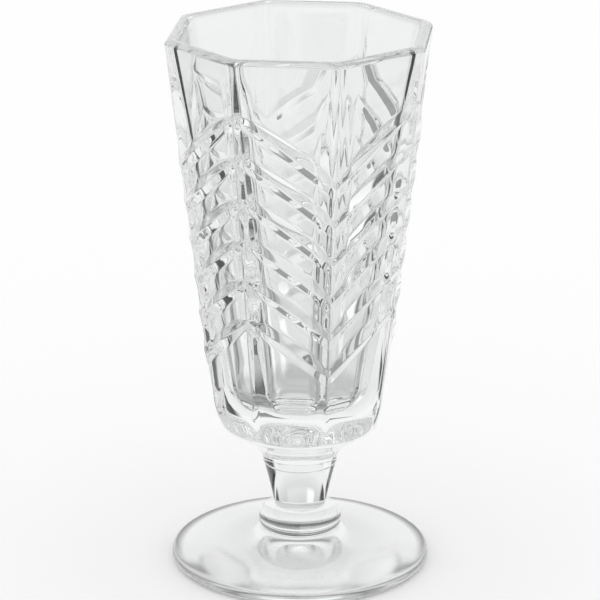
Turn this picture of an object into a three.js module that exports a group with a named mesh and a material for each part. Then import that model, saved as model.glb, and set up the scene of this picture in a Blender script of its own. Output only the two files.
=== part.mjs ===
// A footed vodka glass of clear pressed glass, in millimetres with +Z up. It stands on z = 0, centred on the
// Z axis. Four gathers of glass are stacked and fused face to face: foot, collar, stem and bowl. The bowl is
// an octagon with its faces square to X and Y, and six zigzag ribs run round it from corner to corner.

import * as THREE from 'three';

// Foot: a round disc with a conical top that sweeps up to the collar, and a shallow hollow inside its
// resting ring
const footRadius = 23.7;
const footEdgeThickness = 2.2;
const footConeHeight = 5.4;
const footSweepHeight = 1.0;
const footSweepWidth = 1.6;
const restRingInnerRadius = 17.0;
const footHollowDepth = 1.0;

// Collar: a domed knop on the foot. The higher its fullness, the further up its side stays upright.
const collarHeight = 4.0;
const collarBaseRadius = 7.6;
const collarTopRadius = 5.0;
const collarFullness = 1.5;

// Stem: a round taper that widens upwards
const stemHeight = 8.5;
const stemBottomRadius = 4.65;
const stemTopRadius = 6.7;

// Bowl: outside sizes, measured to the sharp corners of the octagon
const bowlHeight = 81.1;
const rimCornerRadius = 24.8;
const baseCornerRadius = 15.9;
const cornerRounding = 2.0;
const baseEdgeHeight = 7.4;
const baseEdgeInset = 0.1;
const baseFlareAngle = 23;
const undersideFlare = 2.5;

// Bowl: zigzag ribs, measured down from the rim along the corners where they peak and where they dip. A rib
// stands out of the flat face and has a bevel on either side of its crest. The panels between ribs lie below
// that flat.
const ribCount = 6;
const firstPeakDrop = 10.2;
const peakPitch = 7.68;
const firstDipDrop = 22.1;
const dipPitch = 7.16;
const ribCrest = { dip: 0.35, middle: 0.45, peak: 0.13 };
const ribUpperBevel = { dip: 1.0, middle: 2.3, peak: 0.4 };
const ribLowerBevel = { dip: 1.6, middle: 1.5, peak: 1.0 };
const panelSink = 0.4;
const panelFade = 2.2;

// Bowl: cavity. Its floor's rounding takes at most a share of the half width inside the wall.
const lipThickness = 2.3;
const floorWallThickness = 5.2;
const floorHeight = 11.9;
const floorRounding = 9.0;
const floorRoundingShare = 0.85;
const floorDish = 0.4;
const cavityCornerRounding = 4.0;

// Facets
const turnedSegments = 64;
const faceCount = 8;
const cornerSteps = 2;
const flatSteps = 6;
const arcSteps = 6;
const undersideSteps = 8;
const floorSteps = 8;

const collarBottom = footConeHeight + footSweepHeight;
const stemBottom = collarBottom + collarHeight;
const bowlBottom = stemBottom + stemHeight;
const rim = bowlBottom + bowlHeight;

const clearGlass = () => new THREE.MeshStandardMaterial({
  color: 0xf4f6f6,
  roughness: 0.02,
  metalness: 0,
  transparent: true,
  opacity: 0.35,
});

const mix = THREE.MathUtils.lerp;
const radians = THREE.MathUtils.degToRad;
const shares = (steps) => Array.from({ length: steps + 1 }, (_, i) => i / steps);

// Points of an arc in the profile plane, from one angle to another, in radians
function profileArc(centreRadius, centreHeight, radius, from, to) {
  return shares(arcSteps).map((share) => {
    const angle = mix(from, to, share);
    return new THREE.Vector2(
      centreRadius + radius * Math.cos(angle),
      centreHeight + radius * Math.sin(angle),
    );
  });
}

// A turned solid from a profile that starts and ends on the axis, going up its outer side. A lathe turns
// about Y, so the solid is stood up to turn about Z.
function turned(name, profile) {
  const solid = new THREE.LatheGeometry(profile, turnedSegments).rotateX(Math.PI / 2);
  const mesh = new THREE.Mesh(solid, clearGlass());
  mesh.name = name;
  return mesh;
}

// The foot's profile runs out along the hollow, which meets the resting ring level, round the edge, up the
// cone and up the sweep, which leaves the cone in its own direction and ends upright under the collar
function makeFoot() {
  const edge = footEdgeThickness / 2;
  const edgeCentre = footRadius - edge;
  const coneTop = new THREE.Vector2(collarBaseRadius + footSweepWidth, footConeHeight);
  const slope = Math.atan2(footConeHeight - footEdgeThickness, edgeCentre - coneTop.x);
  const hollow = shares(arcSteps).map((share) => new THREE.Vector2(
    restRingInnerRadius * share,
    footHollowDepth * (1 - share * share) ** 2,
  ));
  const roundEdge = profileArc(edgeCentre, edge, edge, -Math.PI / 2, Math.PI / 2 - slope);
  const sweep = new THREE.QuadraticBezierCurve(
    coneTop,
    new THREE.Vector2(collarBaseRadius, footConeHeight + footSweepWidth * Math.tan(slope)),
    new THREE.Vector2(collarBaseRadius, collarBottom),
  ).getPoints(arcSteps);
  return turned('foot', [...hollow, ...roundEdge, ...sweep, new THREE.Vector2(0, collarBottom)]);
}

// The collar's side starts upright on the foot and curves in to the stem
function makeCollar() {
  const side = shares(arcSteps).map((share) => new THREE.Vector2(
    mix(collarBaseRadius, collarTopRadius, share ** collarFullness),
    collarBottom + collarHeight * share,
  ));
  return turned('collar', [
    new THREE.Vector2(0, collarBottom),
    ...side,
    new THREE.Vector2(0, stemBottom),
  ]);
}

function makeStem() {
  return turned('stem', [
    new THREE.Vector2(0, stemBottom),
    new THREE.Vector2(stemBottomRadius, stemBottom),
    new THREE.Vector2(stemTopRadius, bowlBottom),
    new THREE.Vector2(0, bowlBottom),
  ]);
}

// Stations round the bowl. Every ring of the loft has the same stations: on each face they run over half of
// the corner before it, along the flat, and over half of the corner after it.
const halfFace = Math.PI / faceCount;
const stations = [];
for (let face = 0; face < faceCount; face++) {
  for (let i = 0; i < cornerSteps; i++) {
    stations.push({ face, turn: halfFace * (i / cornerSteps - 1), along: -1 });
  }
  for (let i = 0; i <= flatSteps; i++) {
    stations.push({ face, turn: 0, along: 2 * i / flatSteps - 1 });
  }
  for (let i = 1; i < cornerSteps; i++) {
    stations.push({ face, turn: halfFace * (i / cornerSteps), along: 1 });
  }
}

// A point of a rounded octagon: its face's normal turned by the station, from the centre of the corner arc
// or from the flat. The stations next to the ends of the flat stand where the panels reach full depth.
const onFlat = (station) => Math.abs(station.along) < 1;

function octagonPoint(station, apothem, rounding, height, proud = 0) {
  const flat = (apothem - rounding) * Math.tan(halfFace);
  const endStep = 1 - 2 / flatSteps;
  const fade = Math.min(panelFade, flat / 2);
  const stretch = onFlat(station) ? (1 - fade / flat) / endStep : 1;
  const along = flat * station.along * stretch;
  const reach = rounding + proud;
  const outward = apothem - rounding + reach * Math.cos(station.turn);
  const sideways = along + reach * Math.sin(station.turn);
  const facing = station.face * 2 * halfFace;
  return new THREE.Vector3(
    outward * Math.cos(facing) - sideways * Math.sin(facing),
    outward * Math.sin(facing) + sideways * Math.cos(facing),
    height,
  );
}

// Outer octagon: apothem at a height, and the share of a side at which a station stands, from -1 to 1
const baseEdge = bowlBottom + baseEdgeHeight;
function outerApothem(height) {
  const share = (height - baseEdge) / (rim - baseEdge);
  return mix(baseCornerRadius, rimCornerRadius, share) * Math.cos(halfFace);
}

const baseEdgeRadius = outerApothem(baseEdge) - baseEdgeInset;

function shareOfSide(station, height) {
  const apothem = outerApothem(height);
  const point = octagonPoint({ ...station, face: 0 }, apothem, cornerRounding, height);
  return point.y / (apothem * Math.tan(halfFace));
}

// A size that varies along a rib, on the parabola through its values at the dip, the middle and the peak
function alongRib(size, climb) {
  const tilt = (size.peak - size.dip) / 2;
  const bow = (size.peak + size.dip) / 2 - size.middle;
  return size.middle + tilt * climb + bow * climb * climb;
}

// A ring on the outer octagon that zigzags between a peak height and a dip height on alternate corners, with
// its peaks on the corner after each odd face. A station climbs from -1 at a dip to 1 at a peak, and its climb
// sets how far the ring is shifted up and how far it stands proud.
function zigzagRing(peak, dip, shiftAt, proudAt) {
  const middle = (peak + dip) / 2;
  return stations.map((station) => {
    const climb = shareOfSide(station, middle) * (station.face % 2 === 1 ? 1 : -1);
    const height = mix(dip, peak, (1 + climb) / 2) + shiftAt(climb);
    return octagonPoint(station, outerApothem(height), cornerRounding, height, proudAt(station, climb));
  });
}

function levelRing(apothem, rounding, height) {
  return stations.map((station) => octagonPoint(station, apothem, rounding, height));
}

// A round ring, with its stations in the directions that they have on the octagon
function roundRing(radius, height) {
  return levelRing(outerApothem(baseEdge), cornerRounding, height).map((point) => {
    const scale = radius / Math.hypot(point.x, point.y);
    return new THREE.Vector3(point.x * scale, point.y * scale, height);
  });
}

// The underside carries the stem's taper on and flares out to the base edge
function undersideRings() {
  const tapered = stemTopRadius + baseEdgeHeight * (stemTopRadius - stemBottomRadius) / stemHeight;
  return shares(undersideSteps).map((share) => roundRing(
    mix(stemTopRadius, tapered, share) + (baseEdgeRadius - tapered) * share ** undersideFlare,
    bowlBottom + baseEdgeHeight * share,
  ));
}

// A cone rises from the base edge, and the flat faces cut it along a scalloped ring, low at mid-face and high
// at the corners
function scallopRing() {
  const spread = Math.tan(radians(baseFlareAngle));
  const draft = (rimCornerRadius - baseCornerRadius) / (rim - baseEdge);
  return stations.map((station) => {
    const level = octagonPoint(station, outerApothem(baseEdge), cornerRounding, baseEdge);
    const reach = Math.hypot(level.x, level.y);
    const height = baseEdge + (reach - baseEdgeRadius) / (spread - draft);
    return octagonPoint(station, outerApothem(height), cornerRounding, height);
  });
}

// Each rib has a lower edge, a crest and an upper edge. Its edges lie on the sunk panels, apart from the
// lowest edge of all, which lies on the plain face below.
function ribRings() {
  const crest = (station, climb) => alongRib(ribCrest, climb);
  const panel = (station) => (onFlat(station) ? -panelSink : 0);
  const plain = () => 0;
  const down = (climb) => -alongRib(ribLowerBevel, climb);
  const level = () => 0;
  const up = (climb) => alongRib(ribUpperBevel, climb);
  const rings = [];
  for (let rib = ribCount - 1; rib >= 0; rib--) {
    const peak = rim - firstPeakDrop - rib * peakPitch;
    const dip = rim - firstDipDrop - rib * dipPitch;
    const below = rib === ribCount - 1 ? plain : panel;
    rings.push(zigzagRing(peak, dip, down, below));
    rings.push(zigzagRing(peak, dip, level, crest));
    rings.push(zigzagRing(peak, dip, up, panel));
  }
  return rings;
}

// The lip is a half round from the outer wall over to the cavity
function lipRings() {
  const lip = lipThickness / 2;
  const outer = outerApothem(rim - lip);
  return shares(arcSteps).map((share) => {
    const angle = share * Math.PI;
    return levelRing(
      outer - lip * (1 - Math.cos(angle)),
      mix(cornerRounding, cavityCornerRounding, share),
      rim - lip + lip * Math.sin(angle),
    );
  });
}

// The cavity wall runs straight down to a quarter round that leads into the dished floor
function floorRings() {
  const floor = bowlBottom + floorHeight;
  const wall = outerApothem(floor + floorRounding) - floorWallThickness;
  const rounding = Math.min(floorRounding, floorRoundingShare * wall);
  return shares(floorSteps).map((share) => {
    const angle = share * Math.PI / 2;
    const apothem = wall - rounding * (1 - Math.cos(angle));
    return levelRing(
      apothem,
      cavityCornerRounding * apothem / wall,
      floor + floorDish + rounding * (1 - Math.sin(angle)),
    );
  });
}

// Joins rings of equal length into a closed skin, with a centre point under the first ring and over the last
function skin(rings, firstCentre, lastCentre) {
  const count = stations.length;
  const points = [firstCentre, ...rings.flat(), lastCentre];
  const last = points.length - 1;
  const triangles = [];
  for (let i = 0; i < count; i++) {
    const next = (i + 1) % count;
    triangles.push(0, 1 + next, 1 + i);
    for (let ring = 0; ring < rings.length - 1; ring++) {
      const lower = 1 + ring * count;
      const upper = lower + count;
      triangles.push(lower + i, lower + next, upper + next);
      triangles.push(lower + i, upper + next, upper + i);
    }
    triangles.push(last, last - count + i, last - count + next);
  }
  const geometry = new THREE.BufferGeometry().setFromPoints(points);
  geometry.setIndex(triangles);
  geometry.computeVertexNormals();
  return geometry;
}

function makeBowl() {
  const rings = [
    ...undersideRings(),
    scallopRing(),
    ...ribRings(),
    ...lipRings(),
    ...floorRings(),
  ];
  const bottomCentre = new THREE.Vector3(0, 0, bowlBottom);
  const floorCentre = new THREE.Vector3(0, 0, bowlBottom + floorHeight);
  const mesh = new THREE.Mesh(skin(rings, bottomCentre, floorCentre), clearGlass());
  mesh.name = 'bowl';
  return mesh;
}

const vodkaGlass = new THREE.Group();
vodkaGlass.name = 'vodka_glass';
vodkaGlass.add(makeFoot(), makeCollar(), makeStem(), makeBowl());

export default vodkaGlass;
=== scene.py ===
import math

import bpy
import numpy as np
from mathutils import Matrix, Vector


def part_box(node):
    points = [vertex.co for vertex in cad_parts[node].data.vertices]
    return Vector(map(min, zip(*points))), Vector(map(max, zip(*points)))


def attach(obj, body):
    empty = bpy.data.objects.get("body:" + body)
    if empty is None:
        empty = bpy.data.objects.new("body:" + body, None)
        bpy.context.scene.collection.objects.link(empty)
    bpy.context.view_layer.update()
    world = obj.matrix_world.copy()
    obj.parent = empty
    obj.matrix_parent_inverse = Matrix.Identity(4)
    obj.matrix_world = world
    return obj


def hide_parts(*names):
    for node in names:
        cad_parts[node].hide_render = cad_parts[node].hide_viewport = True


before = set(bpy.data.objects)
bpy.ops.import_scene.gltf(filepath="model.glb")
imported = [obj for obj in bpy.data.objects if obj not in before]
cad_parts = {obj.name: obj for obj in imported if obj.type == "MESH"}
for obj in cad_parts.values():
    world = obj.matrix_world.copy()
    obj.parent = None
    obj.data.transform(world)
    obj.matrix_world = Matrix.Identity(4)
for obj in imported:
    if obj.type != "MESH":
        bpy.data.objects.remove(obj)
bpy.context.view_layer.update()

# Foot
# A round disc pressed from clear glass. Its top is a low cone that sweeps up to the collar, and its edge is
# rounded in the flame. It stands on a flat ring with a shallow hollow inside it, both ground half matt.
mm = 0.001
_, foot_top = (corner.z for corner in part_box("foot"))
FOOT_RADIUS = 23.69 * mm
FOOT_EDGE = 1.1 * mm
FOOT_CONE_TOP = 5.4 * mm
FOOT_SWEEP_WIDTH = 1.9 * mm
FOOT_REST_RADIUS = 17.0 * mm
FOOT_HOLLOW = 1.0 * mm
HOLLOW_START = 0.05
COLLAR_FOOT_RADIUS = 7.3 * mm
ROUND_STEPS = 256
PROFILE_STEPS = 24
REST_STEPS = 8
SWEEP_STEPS = 16


def arc(centre, radius, start, end, steps):
    """Profile points (radius, height) on a circle, at angles that run evenly from start to end."""
    angle = np.linspace(start, end, steps)
    return np.column_stack((centre[0] + radius * np.cos(angle), centre[1] + radius * np.sin(angle)))


def curve(points, steps):
    """A quadratic curve that leaves the first point towards the second and comes to the third from it."""
    t = np.linspace(0, 1, steps)[:, None]
    first, second, third = np.asarray(points)
    return (1 - t) ** 2 * first + 2 * t * (1 - t) * second + t**2 * third


def turned(profile):
    """Rings of a turned surface: each profile point (radius, height) goes round the Z axis."""
    around = np.linspace(0, 2 * np.pi, ROUND_STEPS, endpoint=False)
    radius, height = profile[:, :1], profile[:, 1:]
    return np.stack((radius * np.cos(around), radius * np.sin(around), height + 0 * around), axis=-1)


def closed_piece(name, rings, ends, fused, materials):
    """A closed mesh over rings of points that run up the outside. Two end heights on the axis close the first
    and the last ring with fans. The fans named in fused are flat and take the second material."""
    rows, columns = rings.shape[:2]
    points = np.concatenate(([[0, 0, ends[0]]], rings.reshape(-1, 3), [[0, 0, ends[1]]]))
    index = 1 + np.arange(rows * columns).reshape(rows, columns)
    after = np.roll(index, -1, axis=1)
    quads = np.stack((index[:-1], after[:-1], after[1:], index[1:]), axis=-1).reshape(-1, 4)
    last = np.full(columns, len(points) - 1)
    bottom_fan = np.column_stack((0 * last, after[0], index[0]))
    top_fan = np.column_stack((last, index[-1], after[-1]))
    mesh = bpy.data.meshes.new(name)
    mesh.from_pydata(points.tolist(), [], quads.tolist() + bottom_fan.tolist() + top_fan.tolist())
    seam = np.zeros(len(mesh.polygons), int)
    seam[len(quads):] = np.repeat(["bottom" in fused, "top" in fused], columns)
    mesh.polygons.foreach_set("use_smooth", seam == 0)
    mesh.polygons.foreach_set("material_index", seam)
    for material in materials:
        mesh.materials.append(material)
    mesh.validate()
    piece = bpy.data.objects.new(name, mesh)
    bpy.context.scene.collection.objects.link(piece)
    return piece


def add_node(tree, kind, settings=None, links=None):
    """Adds a node, sets its properties and sockets by name, and links its sockets to other nodes' outputs."""
    node = tree.nodes.new(kind)
    for name, value in (settings or {}).items():
        if isinstance(name, str) and hasattr(node, name):
            setattr(node, name, value)
        else:
            node.inputs[name].default_value = value
    for name, output in (links or {}).items():
        tree.links.new(output, node.inputs[name])
    return node


def linear(code):
    """A colour written as sRGB hex, as linear red, green, blue and alpha: a straight line close to black, and a
    power of 2.4 above it."""
    srgb = np.array([int(code[i:i + 2], 16) for i in (0, 2, 4)]) / 255
    light = np.where(srgb <= 0.04045, srgb / 12.92, ((srgb + 0.055) / 1.055) ** 2.4)
    return (*light.tolist(), 1.0)


# Pressed soda-lime glass, fire polished. It is colourless and clear, with faint waves some millimetres long
# where it chilled on the mould, which soften the lines seen through it.
GLASS_COLOUR = "FCFDFD"
GLASS_IOR = 1.52
WAVE_LENGTH = 6.0 * mm
WAVE_HEIGHT = 0.004 * mm
WAVE_DETAIL = 1.0
POLISHED_ROUGHNESS = 0.006
pressed_glass = bpy.data.materials.new("pressed_clear_glass")
pressed_glass.use_nodes = True
tree = pressed_glass.node_tree
tree.nodes.clear()
place = add_node(tree, "ShaderNodeTexCoord")
chill = add_node(tree, "ShaderNodeTexNoise", {"Scale": 1 / WAVE_LENGTH, "Detail": WAVE_DETAIL},
                 {"Vector": place.outputs["Object"]})
waves = add_node(tree, "ShaderNodeBump", {"Strength": 1.0, "Distance": WAVE_HEIGHT},
                 {"Height": chill.outputs["Fac"]})
polish = add_node(tree, "ShaderNodeMapRange", {"To Min": 0.0, "To Max": POLISHED_ROUGHNESS},
                  {"Value": chill.outputs["Fac"]})
glass = add_node(tree, "ShaderNodeBsdfPrincipled",
                 {"Base Color": linear(GLASS_COLOUR), "IOR": GLASS_IOR, "Transmission Weight": 1.0},
                 {"Roughness": polish.outputs["Result"], "Normal": waves.outputs["Normal"]})
add_node(tree, "ShaderNodeOutputMaterial", links={"Surface": glass.outputs["BSDF"]})

# The same glass on the underside of the foot, ground flat and only half polished. It softens the floor that is
# seen through it. The grain itself is too fine to show, so it is drawn as patches some millimetres long.
GRIND_LENGTH = 4.0 * mm
GRIND_DETAIL = 3.0
GROUND_ROUGHNESS = (0.07, 0.12)
ground_glass = bpy.data.materials.new("ground_clear_glass")
ground_glass.use_nodes = True
tree = ground_glass.node_tree
tree.nodes.clear()
place = add_node(tree, "ShaderNodeTexCoord")
grain = add_node(tree, "ShaderNodeTexNoise", {"Scale": 1 / GRIND_LENGTH, "Detail": GRIND_DETAIL},
                 {"Vector": place.outputs["Object"]})
matt = add_node(tree, "ShaderNodeMapRange", {"To Min": GROUND_ROUGHNESS[0], "To Max": GROUND_ROUGHNESS[1]},
                {"Value": grain.outputs["Fac"]})
ground = add_node(tree, "ShaderNodeBsdfPrincipled",
                  {"Base Color": linear(GLASS_COLOUR), "IOR": GLASS_IOR, "Transmission Weight": 1.0},
                  {"Roughness": matt.outputs["Result"]})
add_node(tree, "ShaderNodeOutputMaterial", links={"Surface": ground.outputs["BSDF"]})

# Where two gathers are fused there is no surface left, so light goes straight through.
fused_joint = bpy.data.materials.new("fused_joint")
fused_joint.use_nodes = True
fused_joint.node_tree.nodes["Principled BSDF"].inputs["Alpha"].default_value = 0.0

edge_centre = FOOT_RADIUS - FOOT_EDGE
cone_foot = COLLAR_FOOT_RADIUS + FOOT_SWEEP_WIDTH
slope = math.atan2(FOOT_CONE_TOP - 2 * FOOT_EDGE, edge_centre - cone_foot)
hollow_reach = np.linspace(HOLLOW_START, 1, PROFILE_STEPS)
hollow = np.column_stack((FOOT_REST_RADIUS * hollow_reach, FOOT_HOLLOW * (1 - hollow_reach**2) ** 2))
rest_ring = np.column_stack((np.linspace(FOOT_REST_RADIUS, edge_centre, REST_STEPS), np.zeros(REST_STEPS)))
edge = arc((edge_centre, FOOT_EDGE), FOOT_EDGE, -math.pi / 2, math.pi / 2 - slope, PROFILE_STEPS)
cone_share = np.linspace(0, 1, PROFILE_STEPS)[1:, None]
cone = edge[-1] * (1 - cone_share) + cone_share * np.array((cone_foot, FOOT_CONE_TOP))
sweep = curve([(cone_foot, FOOT_CONE_TOP),
               (COLLAR_FOOT_RADIUS, FOOT_CONE_TOP + FOOT_SWEEP_WIDTH * math.tan(slope)),
               (COLLAR_FOOT_RADIUS, foot_top)], SWEEP_STEPS)
foot_profile = np.concatenate((hollow[:-1], rest_ring[:-1], edge, cone[:-1], sweep))
foot = closed_piece("glass_foot", turned(foot_profile), (FOOT_HOLLOW, foot_top), {"top"},
                    (pressed_glass, fused_joint, ground_glass))

# The underside takes the ground finish: the faces whose normal's upward part is below this limit.
PRESSED_SLOT, GROUND_SLOT = 0, 2
DOWNWARD = -0.9
foot_faces = foot.data.polygons
face_slot = np.zeros(len(foot_faces), int)
face_normal = np.zeros(3 * len(foot_faces))
foot_faces.foreach_get("material_index", face_slot)
foot_faces.foreach_get("normal", face_normal)
face_slot[(face_normal[2::3] < DOWNWARD) & (face_slot == PRESSED_SLOT)] = GROUND_SLOT
foot_faces.foreach_set("material_index", face_slot)
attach(foot, "root")
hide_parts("foot")

# Collar
# The knop between foot and stem, a small gather of the same glass pressed down hot to a full round bead. It
# narrows a little to the foot and draws in level to the stem.
collar_bottom, collar_top = (corner.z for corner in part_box("collar"))
STEM_FOOT_RADIUS = 4.65 * mm
COLLAR_RADIUS = 7.6 * mm
COLLAR_STEPS = 40
bulge = COLLAR_RADIUS - STEM_FOOT_RADIUS
swing = np.linspace(-math.acos((COLLAR_FOOT_RADIUS - STEM_FOOT_RADIUS) / bulge), math.pi / 2, COLLAR_STEPS)
rise = (np.sin(swing) - np.sin(swing[0])) / (1 - np.sin(swing[0]))
collar_profile = np.column_stack((
    STEM_FOOT_RADIUS + bulge * np.cos(swing),
    collar_bottom + (collar_top - collar_bottom) * rise,
))
collar = closed_piece("glass_collar", turned(collar_profile), (collar_bottom, collar_top), {"bottom", "top"},
                      (pressed_glass, fused_joint))
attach(collar, "root")
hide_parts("collar")

# Stem
# A short round stem drawn out of the hot glass under the bowl and set on the collar. It widens upwards, a little
# faster near the bowl.
stem_bottom, stem_top = (corner.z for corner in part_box("stem"))
STEM_HEAD_RADIUS = 6.7 * mm
STEM_FLARE = 0.13
STEM_STEPS = 40
rise = np.linspace(0, 1, STEM_STEPS)
widening = (1 - STEM_FLARE) * rise + STEM_FLARE * rise**2
stem_profile = np.column_stack((
    STEM_FOOT_RADIUS + (STEM_HEAD_RADIUS - STEM_FOOT_RADIUS) * widening,
    stem_bottom + (stem_top - stem_bottom) * rise,
))
stem = closed_piece("glass_stem", turned(stem_profile), (stem_bottom, stem_top), {"bottom", "top"},
                    (pressed_glass, fused_joint))
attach(stem, "root")
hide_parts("stem")

# Bowl
# A tapered octagonal cup pressed from clear glass on a thick base, whose underside flares out of the stem. Six
# zigzag ribs run round it, up to one corner and down to the next, and its lip is rounded in the flame.
bowl_bottom, rim = (corner.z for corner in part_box("bowl"))
FACES = 8
RIM_CORNER = 24.8 * mm
BASE_CORNER = 15.9 * mm
BASE_EDGE = bowl_bottom + 7.4 * mm
CORNER_ROUNDING = 2.0 * mm
CORNER_STEPS = 6
FLAT_STEPS = 24

half_face = math.pi / FACES
corner_turn = np.linspace(-half_face, 0, CORNER_STEPS, endpoint=False)
turn = np.concatenate((corner_turn, np.zeros(FLAT_STEPS + 1), -corner_turn[:0:-1]))
along = np.concatenate((-np.ones(CORNER_STEPS), np.linspace(-1, 1, FLAT_STEPS + 1), np.ones(CORNER_STEPS - 1)))
face = np.repeat(np.arange(FACES), turn.size)
turn, along = np.tile(turn, FACES), np.tile(along, FACES)


def octagon(apothem, rounding, proud=0.0):
    """Points of rounded octagons, one a row: a face's flat lies apothem from the axis, the corners are arcs of
    the rounding, and proud moves the skin out along its normal. Gives x, y and the place along the side."""
    reach = rounding + proud
    outward = apothem - rounding + reach * np.cos(turn)
    sideways = (apothem - rounding) * math.tan(half_face) * along + reach * np.sin(turn)
    facing = face * 2 * half_face
    x = outward * np.cos(facing) - sideways * np.sin(facing)
    y = outward * np.sin(facing) + sideways * np.cos(facing)
    return x, y, sideways


def outer_apothem(height):
    """How far the outer faces lie from the axis. They lean out evenly from the base edge to the rim."""
    share = (height - BASE_EDGE) / (rim - BASE_EDGE)
    return (BASE_CORNER + (RIM_CORNER - BASE_CORNER) * share) * math.cos(half_face)


def smooth_min(a, b, blend):
    """The lesser of two values, rounded where they cross: half of their sum less the long side of a right
    triangle with their difference and the blend as its legs."""
    return (a + b - np.hypot(a - b, blend)) / 2


def through_three(place, values):
    """The parabola that takes the three values at places -1, 0 and 1."""
    low, middle, high = values
    return middle + (high - low) / 2 * place + ((high + low) / 2 - middle) * place**2


def level_rings(apothem, rounding, height):
    """Rings that are octagons, each at one height."""
    x, y, _ = octagon(apothem[:, None], np.broadcast_to(rounding, apothem.shape)[:, None])
    return np.stack((x, y, height[:, None] + 0 * x), axis=-1)


# The base is a turned form, the underside's flare and the cone over it, cut by the flat faces. Its rings lie
# closest about the edge between flare and cone, which is blended.
BASE_INSET = 0.1 * mm
BASE_FLARE = math.radians(23)
BASE_BLEND = 0.9 * mm
UNDERSIDE_START = 1.4 * mm
UNDERSIDE_FLARE = 1.9
FLARE_LIMIT = 1.4
UNDERSIDE_STEPS = 30
EDGE_BELOW, EDGE_ABOVE, EDGE_STEPS = 1.0 * mm, 5.5 * mm, 40
base_edge_radius = outer_apothem(BASE_EDGE) - BASE_INSET
underside_height = np.linspace(bowl_bottom, BASE_EDGE - EDGE_BELOW, UNDERSIDE_STEPS)
edge_height = np.linspace(BASE_EDGE - EDGE_BELOW, BASE_EDGE + EDGE_ABOVE, EDGE_STEPS)
base_height = np.concatenate((underside_height, edge_height[1:]))
flare_start = bowl_bottom + UNDERSIDE_START
share = np.clip((base_height - flare_start) / (BASE_EDGE - flare_start), 0, FLARE_LIMIT)
stem_slope = (1 + STEM_FLARE) * (STEM_HEAD_RADIUS - STEM_FOOT_RADIUS) / (stem_top - stem_bottom)
tapered = STEM_HEAD_RADIUS + stem_slope * (base_height - bowl_bottom)
flare = base_edge_radius - STEM_HEAD_RADIUS - stem_slope * (BASE_EDGE - bowl_bottom)
underside = tapered + flare * share**UNDERSIDE_FLARE
flank = base_edge_radius + math.tan(BASE_FLARE) * (base_height - BASE_EDGE)
base_radius = smooth_min(underside, flank, BASE_BLEND)
base_rings = level_rings(outer_apothem(base_height), CORNER_ROUNDING, base_height)
reach = np.hypot(base_rings[..., 0], base_rings[..., 1])
base_rings[..., :2] *= (smooth_min(reach, base_radius[:, None], BASE_BLEND) / reach)[..., None]

# Each rib is a bevelled crest that bows out between the corners, and the panels between ribs lie below the
# face. Three values hold at a rib's dip, middle and peak. Rows of points follow the zigzag, closest at the crest.
RIBS = 6
FIRST_PEAK, PEAK_PITCH = rim - 10.2 * mm, 7.68 * mm
FIRST_DIP, DIP_PITCH = rim - 23.0 * mm, 7.16 * mm
RIB_CREST = (0.22 * mm, 0.60 * mm, 0.20 * mm)
RIB_UPPER_BEVEL = (1.0 * mm, 2.3 * mm, 0.4 * mm)
RIB_LOWER_BEVEL = (2.0 * mm, 1.8 * mm, 1.2 * mm)
RIB_SOFTNESS = 0.10
PANEL_SINK = 0.45 * mm
PANEL_FADE = 1.0 * mm
PANEL_MARGIN = (1.6 * mm, 1.4 * mm, 0.9 * mm)
CREST_REACH, CREST_ROWS = 0.3 * mm, 7
BEVEL_REACH, BEVEL_ROWS = 0.4 * mm, 13
crest_rows = np.concatenate((np.linspace(-max(RIB_LOWER_BEVEL) - BEVEL_REACH, -BEVEL_REACH, BEVEL_ROWS),
                             np.linspace(-CREST_REACH, CREST_REACH, CREST_ROWS),
                             np.linspace(BEVEL_REACH, max(RIB_UPPER_BEVEL) + BEVEL_REACH, BEVEL_ROWS)))
rib = np.repeat(np.arange(RIBS)[::-1], crest_rows.size)
step = np.tile(crest_rows, RIBS)
peak = FIRST_PEAK - rib * PEAK_PITCH + step
dip = FIRST_DIP - rib * DIP_PITCH + step
sink = np.where((rib == RIBS - 1) & (step < 0), 0.0, PANEL_SINK)
middle = (peak + dip)[:, None] / 2
_, _, sideways = octagon(outer_apothem(middle), CORNER_ROUNDING)
share = sideways / (outer_apothem(middle) * math.tan(half_face))
climb = share * np.where(face % 2 == 1, 1, -1)
height = middle + (peak - dip)[:, None] / 2 * climb
lower_width, upper_width = (through_three(climb, widths) for widths in (RIB_LOWER_BEVEL, RIB_UPPER_BEVEL))
weight = smooth_min(1 + step[:, None] / lower_width, 1 - step[:, None] / upper_width, RIB_SOFTNESS)
weight = -smooth_min(-weight, 0 * weight, RIB_SOFTNESS)
inside = (outer_apothem(middle) - CORNER_ROUNDING) * math.tan(half_face) - np.abs(sideways)
panel = np.clip((inside - through_three(climb, PANEL_MARGIN)) / PANEL_FADE, 0, 1)
panel = panel**2 * (3 - 2 * panel) * sink[:, None]
crest = through_three(climb, RIB_CREST)
proud = weight * (crest + panel) - panel
x, y, _ = octagon(outer_apothem(height), CORNER_ROUNDING, proud)
rib_rings = np.stack((x, y, height), axis=-1)

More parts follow.
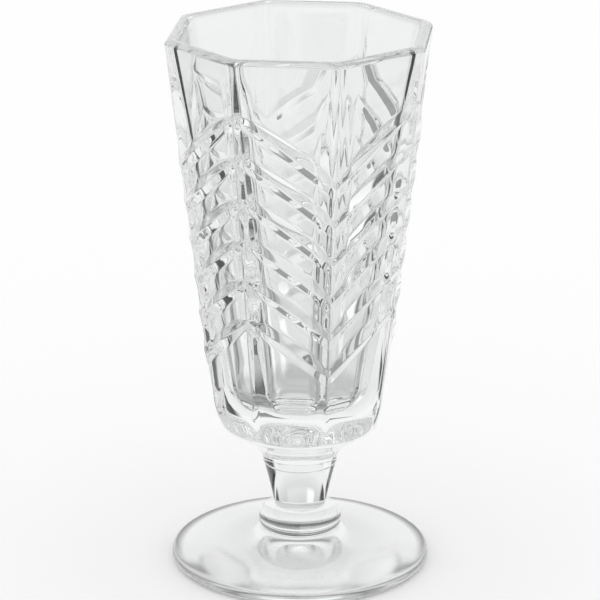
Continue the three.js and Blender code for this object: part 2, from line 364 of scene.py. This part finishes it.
# The lip is a half round, and the cavity runs down to a rounded edge and a dished floor.
LIP = 2.3 * mm
LIP_STEPS = 25
CAVITY_ROUNDING = 4.0 * mm
FLOOR = bowl_bottom + 11.9 * mm
FLOOR_WALL = 6.8 * mm
FLOOR_ROUNDING = 5.0 * mm
FLOOR_DISH = 0.4 * mm
FLOOR_STEPS = 20
WALL_STEPS = 12
DISH_CENTRE, DISH_STEPS = 0.1, 10
PLAIN_STEPS = 6
turn_over = np.linspace(0, math.pi, LIP_STEPS)
lip_rings = level_rings(outer_apothem(rim - LIP / 2) - LIP / 2 * (1 - np.cos(turn_over)),
                        CORNER_ROUNDING + (CAVITY_ROUNDING - CORNER_ROUNDING) * turn_over / math.pi,
                        rim - LIP / 2 + LIP / 2 * np.sin(turn_over))
floor_wall = outer_apothem(FLOOR + FLOOR_ROUNDING) - FLOOR_WALL
bend = np.linspace(0, math.pi / 2, FLOOR_STEPS)
floor_apothem = floor_wall - FLOOR_ROUNDING * (1 - np.cos(bend))
floor_rings = level_rings(floor_apothem, CAVITY_ROUNDING * floor_apothem / floor_wall,
                          FLOOR + FLOOR_DISH + FLOOR_ROUNDING * (1 - np.sin(bend)))
wall_share = np.linspace(0, 1, WALL_STEPS)[1:-1, None, None]
wall_rings = lip_rings[-1] * (1 - wall_share) + floor_rings[0] * wall_share
dish_share = np.linspace(1, DISH_CENTRE, DISH_STEPS)[1:]
dish_rings = level_rings(floor_apothem[-1] * dish_share,
                         CAVITY_ROUNDING * floor_apothem[-1] / floor_wall * dish_share,
                         FLOOR + FLOOR_DISH * dish_share**2)
plain_share = np.linspace(0, 1, PLAIN_STEPS)[1:-1, None, None]
plain_rings = base_rings[-1] * (1 - plain_share) + rib_rings[0] * plain_share
band_rings = rib_rings[-1] * (1 - plain_share) + lip_rings[0] * plain_share
bowl_rings = np.concatenate((base_rings, plain_rings, rib_rings, band_rings,
                             lip_rings, wall_rings, floor_rings, dish_rings))
bowl = closed_piece("glass_bowl", bowl_rings, (bowl_bottom, FLOOR), {"bottom"}, (pressed_glass, fused_joint))
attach(bowl, "root")
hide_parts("bowl")

# Floor
# A wide sheet of white seamless paper under the glass. It is white in the picture and keeps the glass's shadow.
# Through the glass it shows painted light instead: a painted shadow near the foot, painted black cards and
# glowing painted reflectors.
CAMERA_TURN = math.radians(6.2)
FLOOR_RADIUS = 450 * mm
FLOOR_CORNERS = 96
CONTACT_GAP = 0.05 * mm
PAPER_WHITE = "F8F8F8"
PAPER_GLOW = 0.08
LAMP_WHITE = "FFFFFF"
degree = math.radians(1)

# Levels of the painted shade seen through the glass go by the distance from the glass in millimetres, or by the
# bearing in degrees from straight behind it, more to the right. The painted shadow is darkest at the line of
# contact, just outside the foot's edge.
PAINTED_PAPER_SHADE_BY_DISTANCE = ((0, 0.62), (8, 0.66), (12, 0.75), (16, 0.84), (22.4, 0.88), (22.8, 0.15), (28, 0.15),
                     (30, 0.70), (36, 0.62), (50, 0.42), (70, 0.46), (80, 0.58), (110, 0.66), (150, 0.76),
                     (220, 0.88), (450, 0.92))
# A painted black card at either side, painted shade by the share of light that it takes.
PAINTED_CARD_BY_DISTANCE = ((0, 0.0), (28, 0.0), (31, 0.45), (56, 0.45), (66, 0.1), (78, 0.1), (86, 0.8), (130, 0.8),
                    (140, 1.0), (250, 1.0), (262, 0.0), (450, 0.0))
PAINTED_CARD_BY_BEARING = ((-180, 0.0), (-95, 0.0), (-90, 1.0), (-36, 1.0), (-32, 0.0), (37, 0.0), (41, 1.0),
                   (90, 1.0), (95, 0.0), (180, 0.0))
# Painted white reflectors all across the front, and a narrow and a faint one behind: painted light, by what they
# add.
PAINTED_REFLECTOR_BY_DISTANCE = ((0, 0.0), (28, 0.0), (34, 0.2), (58, 0.25), (66, 0.42), (112, 0.42), (135, 0.0),
                         (450, 0.0))
PAINTED_REFLECTOR_BY_BEARING = ((-180, 1.0), (-99, 1.0), (-96, 0.0), (-22, 0.0), (-19, 1.0), (-11, 1.0), (-8, 0.3),
                        (16, 0.3), (20, 0.0), (95, 0.0), (98, 1.0), (180, 1.0))


def ramp(tree, value, levels, unit):
    """A ramp through the given levels, straight between them, over a value in the given unit."""
    first, last = levels[0][0], levels[-1][0]
    spread = add_node(tree, "ShaderNodeMapRange", {"From Min": first * unit, "From Max": last * unit},
                      {"Value": value})
    scale = add_node(tree, "ShaderNodeValToRGB", links={"Fac": spread.outputs["Result"]})
    stops = scale.color_ramp.elements
    stops[0].color = (*[levels[0][1]] * 3, 1.0)
    stops[1].color = (*[levels[-1][1]] * 3, 1.0)
    for place, level in levels[1:-1]:
        stops.new((place - first) / (last - first)).color = (level, level, level, 1.0)
    return scale.outputs["Color"]


def bearing_and_rise(tree, vector):
    """The angle of a vector from straight behind the glass as the camera stands, more to the right, and the
    vector's upward part."""
    facing = add_node(tree, "ShaderNodeMapping", {"Rotation": (0, 0, -CAMERA_TURN)}, {"Vector": vector})
    axes = add_node(tree, "ShaderNodeSeparateXYZ", links={"Vector": facing.outputs["Vector"]})
    bearing = add_node(tree, "ShaderNodeMath", {"operation": "ARCTAN2"},
                       {0: axes.outputs["X"], 1: axes.outputs["Y"]})
    return bearing.outputs["Value"], axes.outputs["Z"]


def behind_card(tree, level, across, along):
    """The level less what a dark card takes of it, which is the product of the card's two ramps."""
    card = add_node(tree, "ShaderNodeMath", {"operation": "MULTIPLY"}, {0: across, 1: along})
    bare = add_node(tree, "ShaderNodeMath", {"operation": "SUBTRACT", 0: 1.0}, {1: card.outputs["Value"]})
    left = add_node(tree, "ShaderNodeMath", {"operation": "MULTIPLY"}, {0: level, 1: bare.outputs["Value"]})
    return left.outputs["Value"]


around = np.linspace(0, 2 * np.pi, FLOOR_CORNERS, endpoint=False)
sheet_edge = np.column_stack((FLOOR_RADIUS * np.cos(around), FLOOR_RADIUS * np.sin(around),
                              0 * around - CONTACT_GAP))
floor_mesh = bpy.data.meshes.new("paper_floor")
floor_mesh.from_pydata(sheet_edge.tolist(), [], [list(range(FLOOR_CORNERS))])

# Matt white paper that glows a little, so that it stays white beside the glass. Rays that come through the
# glass meet the painted shadow, painted cards and painted reflectors instead, which give the glass its greys and
# its dark lines.
paper = bpy.data.materials.new("white_paper_and_painted_shade")
paper.use_nodes = True
tree = paper.node_tree
tree.nodes.clear()
place = add_node(tree, "ShaderNodeTexCoord")
length = add_node(tree, "ShaderNodeVectorMath", {"operation": "LENGTH"}, {0: place.outputs["Object"]})
distance = length.outputs["Value"]
bearing, _ = bearing_and_rise(tree, place.outputs["Object"])
# Painted shadow by distance, less the painted black cards: painted shade seen only through the glass.
level = behind_card(tree, ramp(tree, distance, PAINTED_PAPER_SHADE_BY_DISTANCE, mm),
                    ramp(tree, distance, PAINTED_CARD_BY_DISTANCE, mm), ramp(tree, bearing, PAINTED_CARD_BY_BEARING, degree))
# The painted reflectors add painted light, and the sum glows as an emission seen only by rays through the glass.
painted_paper_light = add_node(tree, "ShaderNodeMath", {"operation": "MULTIPLY_ADD"},
                     {0: ramp(tree, distance, PAINTED_REFLECTOR_BY_DISTANCE, mm),
                      1: ramp(tree, bearing, PAINTED_REFLECTOR_BY_BEARING, degree), 2: level})
painted_light_through_glass = add_node(tree, "ShaderNodeEmission", {"Color": linear(LAMP_WHITE)},
                         {"Strength": painted_paper_light.outputs["Value"]})
matt = add_node(tree, "ShaderNodeBsdfPrincipled",
                {"Base Color": linear(PAPER_WHITE), "Roughness": 1.0, "Specular IOR Level": 0.0,
                 "Emission Color": linear(LAMP_WHITE), "Emission Strength": PAPER_GLOW})
ray = add_node(tree, "ShaderNodeLightPath")
sheet = add_node(tree, "ShaderNodeMixShader",
                 links={"Fac": ray.outputs["Is Transmission Ray"], 1: matt.outputs["BSDF"],
                        2: painted_light_through_glass.outputs["Emission"]})
add_node(tree, "ShaderNodeOutputMaterial", links={"Surface": sheet.outputs["Shader"]})
floor_mesh.materials.append(paper)
floor_sheet = bpy.data.objects.new("paper_floor", floor_mesh)
bpy.context.scene.collection.objects.link(floor_sheet)

# Studio light
# A white tent of light round the glass, plain white to the camera and to the paper. The glass sees its dark ring
# overhead, gaps at the sides, low screens behind and greyer front, which draw the lines that show clear glass.
TENT_WHITE = 1.0
TENT_BY_ELEVATION = ((-90, 0.95), (34, 0.95), (40, 0.80), (45, 0.35), (60, 0.35), (65, 1.05), (90, 1.05))
GAP_BY_BEARING = ((-180, 0.0), (-78, 0.0), (-74, 1.0), (-51, 1.0), (-47, 0.0), (32, 0.0), (37, 1.0), (70, 1.0),
                  (74, 0.0), (180, 0.0))
GAP_BY_ELEVATION = ((-90, 0.0), (-8, 0.0), (-5, 1.0), (6, 1.0), (10, 0.0), (90, 0.0))
SCREEN_BY_BEARING = ((-180, 0.0), (-29, 0.0), (-26, 0.7), (-14, 0.7), (-11, 0.0), (3, 0.0), (6, 0.72),
                     (24, 0.72), (28, 0.0), (180, 0.0))
SCREEN_BY_ELEVATION = ((-90, 1.0), (-2, 1.0), (-1, 0.0), (90, 0.0))
# The front is darkest where the black camera stands.
FRONT_BY_BEARING = ((-180, 0.95), (-168, 0.95), (-164, 0.2), (-90, 0.2), (-70, 0.1), (-60, 0.0), (40, 0.0),
                    (50, 0.2), (180, 0.2))
FRONT_BY_ELEVATION = ((-90, 0.0), (-6, 0.0), (-2, 1.0), (34, 1.0), (40, 0.0), (90, 0.0))
BOUNCES = 64
scene = bpy.context.scene
studio = bpy.data.worlds.new("studio")
scene.world = studio
studio.use_nodes = True
tree = studio.node_tree
tree.nodes.clear()
direction = add_node(tree, "ShaderNodeTexCoord")
bearing, upward = bearing_and_rise(tree, direction.outputs["Generated"])
angle_up = add_node(tree, "ShaderNodeMath", {"operation": "ARCSINE"}, {0: upward})
elevation = angle_up.outputs["Value"]
tent = ramp(tree, elevation, TENT_BY_ELEVATION, degree)
for by_bearing, by_elevation in ((GAP_BY_BEARING, GAP_BY_ELEVATION), (SCREEN_BY_BEARING, SCREEN_BY_ELEVATION),
                                 (FRONT_BY_BEARING, FRONT_BY_ELEVATION)):
    tent = behind_card(tree, tent, ramp(tree, bearing, by_bearing, degree),
                       ramp(tree, elevation, by_elevation, degree))
ray = add_node(tree, "ShaderNodeLightPath")
even = add_node(tree, "ShaderNodeMath", {"operation": "MAXIMUM"},
                {0: ray.outputs["Is Camera Ray"], 1: ray.outputs["Is Diffuse Ray"]})
pick = add_node(tree, "ShaderNodeMix", {3: TENT_WHITE}, {0: even.outputs["Value"], 2: tent})
light = add_node(tree, "ShaderNodeBackground", {"Color": linear(LAMP_WHITE)}, {"Strength": pick.outputs[0]})
add_node(tree, "ShaderNodeOutputWorld", links={"Surface": light.outputs["Background"]})
scene.view_settings.view_transform = "Standard"
scene.cycles.max_bounces = BOUNCES
scene.cycles.transmission_bounces = BOUNCES
scene.cycles.glossy_bounces = BOUNCES
scene.cycles.transparent_max_bounces = BOUNCES

# Camera
# The photograph looks down on the glass through a long lens, a little to the right of a face.
CAMERA_PITCH = math.radians(18.98)
CAMERA_REACH = 537 * mm
CAMERA_HEIGHT = 234.5 * mm
LENS_MM = 188.4
SENSOR_MM = 36.0
NEAR_CLIP = 10 * mm
camera_data = bpy.data.cameras.new("camera")
camera_data.lens = LENS_MM
camera_data.sensor_width = SENSOR_MM
camera_data.clip_start = NEAR_CLIP
camera = bpy.data.objects.new("camera", camera_data)
camera.location = (CAMERA_REACH * math.sin(CAMERA_TURN), -CAMERA_REACH * math.cos(CAMERA_TURN), CAMERA_HEIGHT)
camera.rotation_euler = (math.pi / 2 - CAMERA_PITCH, 0, CAMERA_TURN)
scene.collection.objects.link(camera)
scene.camera = camera
